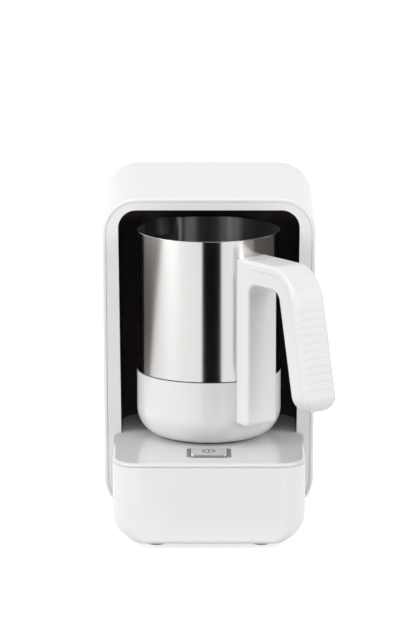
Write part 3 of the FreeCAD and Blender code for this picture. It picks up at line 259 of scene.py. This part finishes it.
def spread(tree, value, low, high):
    """Turns noise about one half into a number from low to high."""
    fit = tree.nodes.new("ShaderNodeMapRange")
    fit.inputs["From Min"].default_value, fit.inputs["From Max"].default_value = noise_range
    fit.inputs["To Min"].default_value = low
    fit.inputs["To Max"].default_value = high
    tree.links.new(value, fit.inputs["Value"])
    return fit.outputs["Result"]


def blend_colours(tree, value, dark, light):
    """A colour between two, by a noise value."""
    ramp = tree.nodes.new("ShaderNodeValToRGB")
    for stop, position, colour in zip(ramp.color_ramp.elements, colour_range, (dark, light)):
        stop.position = position
        stop.color = (*colour, 1)
    tree.links.new(value, ramp.inputs["Fac"])
    return ramp.outputs["Color"]


def raised(tree, shader, value, strength, high):
    """Bump of the given height in metres on the shader's normal."""
    bump = tree.nodes.new("ShaderNodeBump")
    bump.inputs["Strength"].default_value = strength
    bump.inputs["Distance"].default_value = high
    tree.links.new(value, bump.inputs["Height"])
    tree.links.new(bump.outputs["Normal"], shader.inputs["Normal"])


def shade_of(colour, share):
    """The colour, times that share."""
    return tuple(part * share for part in colour)


def moulded(name, colour, roughness, cloud=0.99, skin=0.1, wave=260.0, skin_high=0.00002):
    """Injection moulded plastic: slightly clouded colour, uneven gloss and the mould's skin."""
    material, tree, shader = new_finish(name, colour, roughness)
    clouds = noise(tree, cloud_scale, soft_detail)
    tree.links.new(blend_colours(tree, clouds, shade_of(colour, cloud), colour),
                   shader.inputs["Base Color"])
    low, high = [roughness * share for share in patch_gloss]
    patches = noise(tree, patch_scale, soft_detail)
    tree.links.new(spread(tree, patches, low, high), shader.inputs["Roughness"])
    raised(tree, shader, noise(tree, wave, fine_detail), skin, skin_high)
    return material


def finish_with(material, *names):
    """Gives these pieces of the frame this finish."""
    for name in names:
        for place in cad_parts[name].material_slots:
            place.material = material


white_abs = moulded("housing_white_abs", housing_white, housing_gloss)
finish_with(white_abs, "arch_shell", "front_bezel", "base_shell")

# Deck. The top of the base is a separate moulding of white ABS, polished a little more, snapped
# into the base box at the seam that runs round under its edge. Its colour is painted darker than
# the housing's: painted shade.
deck_white_painted_shade = (0.74, 0.738, 0.735)
deck_gloss = 0.13
finish_with(moulded("deck_abs_painted_shade", deck_white_painted_shade, deck_gloss), "deck_cover")

# Back cover. A panel of the same white with a finely etched skin, screwed into the sleeve's
# bosses; nobody polishes the side that faces the wall.
back_gloss = 0.42
etching = {"skin": 0.35, "wave": 1400.0, "skin_high": 0.00006}
finish_with(moulded("back_etched_abs", housing_white, back_gloss, **etching), "back_cover")

# Niche liner. A tub of dark brown plastic behind the opening, moulded with a shine so that
# steam and coffee wipe off; the jug stands in it.
liner_brown = (0.088, 0.073, 0.066)
liner_gloss = 0.3
finish_with(moulded("liner_dark_gloss", liner_brown, liner_gloss, cloud=0.96, skin=0.03),
            "niche_liner")

# Feet. Four soft rubber pads with a stem that plugs into the floor of the base, matt and a
# little dusty from the table.
rubber_grey = (0.62, 0.615, 0.61)
rubber_gloss = 0.75
cloudy = 0.85
grain = {"cloud": cloudy, "skin": 0.5, "wave": 900.0, "skin_high": 0.00008}
finish_with(moulded("foot_rubber", rubber_grey, rubber_gloss, **grain),
            "foot_front_left", "foot_front_right", "foot_back_left", "foot_back_right")

# Dock. A dark round plate in the deck carries the spring contacts; its cone centres the jug.
# The carrier under it and the plate in the jug's foot are plain black plastic, and the pins and
# the rings of the contacts are turned brass.
dock_dark = (0.018, 0.017, 0.016)
carrier_dark = (0.03, 0.03, 0.03)
brass = (0.78, 0.57, 0.27)
dock_gloss = 0.38
carrier_gloss = 0.5
brass_gloss = 0.28
mark_gloss = (0.8, 1.25)
mark_high = 0.00001
finish_with(moulded("dock_dark_plastic", dock_dark, dock_gloss, cloudy), "dock_plate")
finish_with(moulded("carrier_plastic", carrier_dark, carrier_gloss, cloudy),
            "contact_carrier", "socket_plate")


def metal(name, colour, roughness, pitch=400.0, lines=(1, 1, 1), wear=0.9, depth=0.06):
    """Metal with fine tool marks: lines says along which axes they are closely spaced."""
    material, tree, shader = new_finish(name, colour, roughness, metallic=1.0)
    marks = noise(tree, pitch, fine_detail, lines)
    tree.links.new(blend_colours(tree, marks, shade_of(colour, wear), colour),
                   shader.inputs["Base Color"])
    low, high = [roughness * share for share in mark_gloss]
    tree.links.new(spread(tree, marks, low, high), shader.inputs["Roughness"])
    raised(tree, shader, marks, depth, mark_high)
    return material


finish_with(metal("contact_brass", brass, brass_gloss, wear=0.8),
            "contact_pins", "contact_rings")

# Button. A satin metal cap in a thin frame of darker metal, set in the deck; the cap slides in
# a white guide on a coil spring and presses the plunger of a small switch.
cap_metal = (0.86, 0.845, 0.84)
frame_metal = (0.36, 0.355, 0.35)
spring_steel = (0.55, 0.54, 0.52)
switch_black = (0.02, 0.02, 0.022)
plunger_white = (0.7, 0.69, 0.65)
cap_gloss = 0.5
frame_gloss = 0.3
coil_gloss = 0.3
switch_gloss = 0.4
very_cloudy = 0.8
brush_pitch = 1500.0
brushed_across = (0.04, 3.0, 3.0)
finish_with(metal("cap_satin", cap_metal, cap_gloss, brush_pitch, brushed_across), "button_cap")
finish_with(metal("frame_satin", frame_metal, frame_gloss, brush_pitch, brushed_across),
            "button_frame")
finish_with(white_abs, "button_guide")
finish_with(moulded("switch_case", switch_black, switch_gloss, very_cloudy), "push_switch")
finish_with(moulded("switch_plunger", plunger_white, switch_gloss), "switch_plunger")

# Button coil. The spring of steel wire under the cap, as a copy of the frame's own coil, which
# hangs on the button and moves with the cap; the frame's own coil is hidden.
spring_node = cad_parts["button_spring"]
button_coil = bpy.data.objects.new("button_coil", spring_node.data.copy())
bpy.context.scene.collection.objects.link(button_coil)
button_coil.matrix_world = spring_node.matrix_world
button_coil.data.materials.clear()
button_coil.data.materials.append(metal("spring_wire", spring_steel, coil_gloss))
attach(button_coil, "button")
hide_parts("button_spring")
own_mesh(button_coil)

# Button mark. The usual sign for on and off, a ring with a bar in it, printed on the cap in
# dark grey ink; the ink stands a hair proud of the metal.
mark_outer = 0.0046
mark_line = 0.0009
mark_bar = 0.0044
ink_thick = 0.00006
ink_grey = (0.06, 0.058, 0.057)
ink_gloss = 0.5
ring_steps = 72
cap_low, cap_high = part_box("button_cap")
cap_middle = (cap_low + cap_high) / 2


def ring_and_bar():
    """The mark as one thin mesh on the cap's top."""
    shape = bmesh.new()

    def point(x, y):
        return shape.verts.new((cap_middle.x + x, cap_middle.y + y, cap_high.z))

    turns = [2 * math.pi * step / ring_steps for step in range(ring_steps)]
    inner, outer = [[point(radius * math.cos(turn), radius * math.sin(turn)) for turn in turns]
                    for radius in (mark_outer - mark_line, mark_outer)]
    for step in range(ring_steps):
        after = (step + 1) % ring_steps
        shape.faces.new((inner[step], outer[step], outer[after], inner[after]))
    x, y = mark_line / 2, mark_bar / 2
    shape.faces.new([point(*corner) for corner in ((-x, -y), (x, -y), (x, y), (-x, y))])
    grown = bmesh.ops.extrude_face_region(shape, geom=shape.faces[:])
    for part in grown["geom"]:
        if isinstance(part, bmesh.types.BMVert):
            part.co.z += ink_thick
    bmesh.ops.recalc_face_normals(shape, faces=shape.faces[:])
    mesh = bpy.data.meshes.new("button_mark")
    shape.to_mesh(mesh)
    shape.free()
    return mesh


button_mark = bpy.data.objects.new("button_mark", ring_and_bar())
bpy.context.scene.collection.objects.link(button_mark)
button_mark.data.materials.append(moulded("mark_ink", ink_grey, ink_gloss, very_cloudy))
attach(button_mark, "button")

# Circuit boards. Green glass laminate with copper tracks under the lacquer, and the parts that
# such a board carries: relay, transformer, capacitor, chip, buzzer and the mains terminals.
board_green = (0.012, 0.10, 0.035)
track_green = (0.03, 0.19, 0.07)
board_gloss = 0.32
board_shade = 0.8
track_pitch = 260.0
track_strength = 0.4
track_high = 0.00003
# For each piece on the boards: its finish, colour, gloss, cloud and, for the chip, its skin
carried = {
    "control_chip": ("chip_epoxy", (0.015, 0.015, 0.016), 0.5, very_cloudy, 0.3),
    "power_relay": ("relay_case", (0.03, 0.11, 0.33), 0.3, cloudy),
    "transformer": ("winding_tape", (0.72, 0.52, 0.06), 0.4, very_cloudy),
    "capacitor": ("capacitor_sleeve", (0.02, 0.02, 0.05), 0.25, very_cloudy),
    "terminal_block": ("terminal_plastic", (0.05, 0.28, 0.12), 0.45, cloudy),
    "buzzer": ("buzzer_case", (0.02, 0.02, 0.02), 0.45, very_cloudy),
}


def laminate():
    """Board lacquer: brick rows stand for the runs of copper that show through it."""
    material, tree, shader = new_finish("board_lacquer", board_green, board_gloss)
    place = tree.nodes.new("ShaderNodeTexCoord")
    tracks = tree.nodes.new("ShaderNodeTexBrick")
    tracks.inputs["Scale"].default_value = track_pitch
    tracks.inputs["Color1"].default_value = (*board_green, 1)
    tracks.inputs["Color2"].default_value = (*shade_of(board_green, board_shade), 1)
    tracks.inputs["Mortar"].default_value = (*track_green, 1)
    tree.links.new(place.outputs["Object"], tracks.inputs["Vector"])
    tree.links.new(tracks.outputs["Color"], shader.inputs["Base Color"])
    raised(tree, shader, tracks.outputs["Fac"], track_strength, track_high)
    return material


finish_with(laminate(), "control_board", "power_board", "sensor_board")
for piece, look in carried.items():
    finish_with(moulded(*look), piece)

# Screws. Zinc plated steel: short ones hold the boards on the posts under them, and longer ones
# hold the back cover on the bosses of the sleeve.
zinc = (0.58, 0.57, 0.55)
zinc_gloss = 0.32
zinc_pitch = 900.0
finish_with(metal("screw_zinc", zinc, zinc_gloss, zinc_pitch, wear=0.85),
            "back_screws", "control_screws", "power_screws")

# Cord gland. A soft black collar in the back cover, where the mains lead comes out; the
# photograph shows no lead, so the collar is empty.
gland_black = (0.02, 0.02, 0.02)
gland_gloss = 0.6
finish_with(moulded("gland_rubber", gland_black, gland_gloss, very_cloudy, skin=0.4),
            "cord_gland")

# Foam sensor. A smoked window in the roof of the niche, through which a small board watches
# the foam rise.
window_smoke = (0.02, 0.012, 0.012)
window_gloss = 0.08
finish_with(moulded("window_smoked", window_smoke, window_gloss, cloud=0.9, skin=0.02),
            "sensor_lens")

# Vessel. Drawn stainless steel with a satin polish that runs round it, so lights spread into
# upright bands; the lip at the back left pours. The inside doesn't mirror as steel would: the
# soft reflections that the photograph shows in it are painted on, and so is the dark shade
# between them, over a hardly metallic finish.
vessel_steel = (0.585, 0.578, 0.568)
vessel_gloss = 0.16
inside_gloss = 0.34
inside_metallic = 0.1
inward = -0.002
line_shade = 0.965
line_detail = 4.0
line_strength = 0.05
line_high = 0.00001
smear_scale = 40.0
smear_stretch = (1, 1, 0.3)
smear_gloss = (0.85, 1.15)
# Each stop of the painted reflections is a turn about the axis, as a share of a whole one, and
# a share of the steel's tone: the high ones are painted glints, the low ones painted shade
painted_reflections = [(0.60, 0.08), (0.665, 0.12), (0.69, 1.0), (0.702, 1.65), (0.714, 1.0), (0.735, 0.3),
          (0.75, 0.22), (0.77, 0.3), (0.788, 1.3), (0.80, 1.2), (0.811, 0.35), (0.818, 1.6),
          (0.824, 0.12), (0.86, 0.07)]
polish_pitch = 2600.0
polish_round = (0.012, 0.012, 1.0)
polish_spread = 0.6
quarter_turn = 0.25


def from_axis(tree):
    """How far each point lies from the jug's axis, as a level vector, and its normal."""
    place = tree.nodes.new("ShaderNodeTexCoord")
    level = tree.nodes.new("ShaderNodeMapping")
    level.inputs["Location"].default_value = (-jug_x, -jug_y, 0)
    level.inputs["Scale"].default_value = (1, 1, 0)
    tree.links.new(place.outputs["Object"], level.inputs["Vector"])
    return level.outputs["Vector"], place.outputs["Normal"]


def is_inside(tree, level, normal):
    """1 on the faces that look at the axis and 0 on the others."""
    along = tree.nodes.new("ShaderNodeVectorMath")
    along.operation = "DOT_PRODUCT"
    tree.links.new(level, along.inputs[0])
    tree.links.new(normal, along.inputs[1])
    below = tree.nodes.new("ShaderNodeMath")
    below.operation = "LESS_THAN"
    below.inputs[1].default_value = inward
    tree.links.new(along.outputs["Value"], below.inputs[0])
    return below.outputs[0]


def painted_inside_reflections(tree, level):
    """The painted colour of the inside: painted dark shade, with a few soft upright glints painted
    by the turn about the axis.
    """
    turn = tree.nodes.new("ShaderNodeTexGradient")
    turn.gradient_type = "RADIAL"
    tree.links.new(level, turn.inputs["Vector"])
    ramp = tree.nodes.new("ShaderNodeValToRGB")
    ramp.color_ramp.interpolation = "EASE"
    stops = ramp.color_ramp.elements
    while len(stops) < len(painted_reflections):
        stops.new(1.0)
    for stop, (position, bright) in zip(stops, painted_reflections):
        stop.position = position
        stop.color = (*shade_of(vessel_steel, bright), 1)
    tree.links.new(turn.outputs["Fac"], ramp.inputs["Fac"])
    return ramp.outputs["Color"]


def satin_steel(name):
    """Stainless steel polished round its axis: fine level lines and a glint that runs upright; the
    inside gets painted reflections and painted shade.
    """
    material, tree, shader = new_finish(name, vessel_steel, vessel_gloss, metallic=1.0)
    lines = noise(tree, polish_pitch, line_detail, polish_round)
    smears = noise(tree, smear_scale, fine_detail, smear_stretch)
    level, normal = from_axis(tree)
    inside = is_inside(tree, level, normal)
    tone = tree.nodes.new("ShaderNodeMixRGB")
    tree.links.new(inside, tone.inputs["Fac"])
    tree.links.new(blend_colours(tree, lines, shade_of(vessel_steel, line_shade), vessel_steel),
                   tone.inputs["Color1"])
    tree.links.new(painted_inside_reflections(tree, level), tone.inputs["Color2"])
    tree.links.new(tone.outputs["Color"], shader.inputs["Base Color"])
    shine = tree.nodes.new("ShaderNodeMix")
    shine.inputs["A"].default_value = 1.0
    shine.inputs["B"].default_value = inside_metallic
    tree.links.new(inside, shine.inputs["Factor"])
    tree.links.new(shine.outputs["Result"], shader.inputs["Metallic"])
    rough = tree.nodes.new("ShaderNodeMix")
    tree.links.new(inside, rough.inputs["Factor"])
    low, high = [vessel_gloss * share for share in smear_gloss]
    tree.links.new(spread(tree, smears, low, high), rough.inputs["A"])
    rough.inputs["B"].default_value = inside_gloss
    tree.links.new(rough.outputs["Result"], shader.inputs["Roughness"])
    raised(tree, shader, lines, line_strength, line_high)
    shader.inputs["Anisotropic"].default_value = polish_spread
    shader.inputs["Anisotropic Rotation"].default_value = quarter_turn
    round_it = tree.nodes.new("ShaderNodeTangent")
    round_it.direction_type = "RADIAL"
    round_it.axis = "Z"
    tree.links.new(round_it.outputs["Tangent"], shader.inputs["Tangent"])
    return material


finish_with(satin_steel("vessel_satin_steel"), "jug_steel")

# Cup. The lower half of the jug is a glossy white cup that hides the heater; a thin dark seal
# closes its joint with the steel.
cup_white = (0.765, 0.762, 0.757)
cup_gloss = 0.16
seal_dark = (0.03, 0.028, 0.026)
seal_gloss = 0.6
finish_with(moulded("cup_white_gloss", cup_white, cup_gloss, skin=0.06), "jug_cup")
finish_with(moulded("joint_seal_rubber", seal_dark, seal_gloss, very_cloudy), "joint_seal")

# Heater. Under the vessel's floor an aluminium plate holds the steel sheathed element and the
# thermal cut-out.
cast_aluminium = (0.62, 0.62, 0.61)
sheath = (0.36, 0.34, 0.31)
cutout_cream = (0.62, 0.58, 0.47)
plate_gloss = 0.45
sheath_gloss = 0.5
cutout_gloss = 0.6
plate_pitch = 300.0
sheath_pitch = 500.0
finish_with(metal("plate_aluminium", cast_aluminium, plate_gloss, plate_pitch), "heater_plate")
finish_with(metal("element_sheath", sheath, sheath_gloss, sheath_pitch, wear=0.7),
            "heater_element")
finish_with(moulded("cutout_ceramic", cutout_cream, cutout_gloss, cloudy), "thermal_cutout")

# Handle. A white core is screwed to the vessel through a steel bracket and arches over to a
# grip; a slightly less glossy cover with fine ribs clips on outside it.
handle_white = (0.79, 0.788, 0.784)
core_gloss = 0.22
grip_gloss = 0.33
grip_wave = 700.0
bracket_gloss = 0.35
bracket_pitch = 700.0
finish_with(moulded("handle_white_gloss", handle_white, core_gloss), "handle_core")
finish_with(moulded("grip_white_satin", handle_white, grip_gloss, skin=0.2, wave=grip_wave),
            "handle_cover")
finish_with(metal("bracket_steel", zinc, bracket_gloss, bracket_pitch), "handle_bracket")
